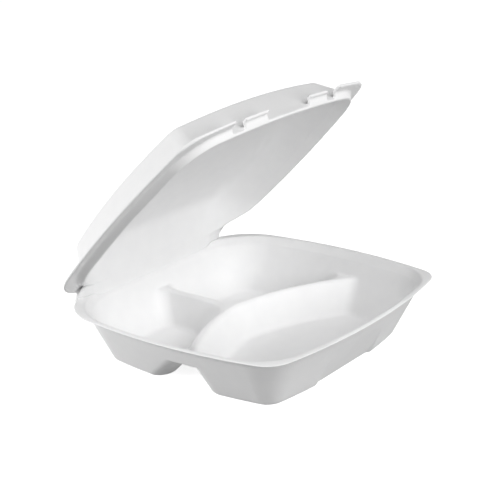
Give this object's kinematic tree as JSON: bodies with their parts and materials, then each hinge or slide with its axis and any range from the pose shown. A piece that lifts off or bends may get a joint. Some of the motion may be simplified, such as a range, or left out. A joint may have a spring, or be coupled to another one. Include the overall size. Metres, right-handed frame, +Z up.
{
  "type": "foam hinged lid container",
  "caption": "White foam take-out container: a tray with curved compartment dividers and a domed lid on a living hinge, held part open, with latch tabs at its front.",
  "frame": {"origin": "middle of the tray's plan on the plane of its feet", "axes": "+X along the hinge, -Y towards the latch side, +Z up"},
  "size_m": [0.2292, 0.2267, 0.1977],
  "materials": {
    "foam": "matte white moulded foam"
  },
  "bodies": {
    "tray": {"base_tray": "foam"},
    "cover": {"lid": "foam"}
  },
  "joints": [
    {"name": "lid_hinge", "type": "hinge", "parent": "tray", "child": "cover", "pos_m": [0, 0.1125, 0.0417], "axis": [-1, 0, 0], "range_deg": [-43.3, 136.7]}
  ]
}
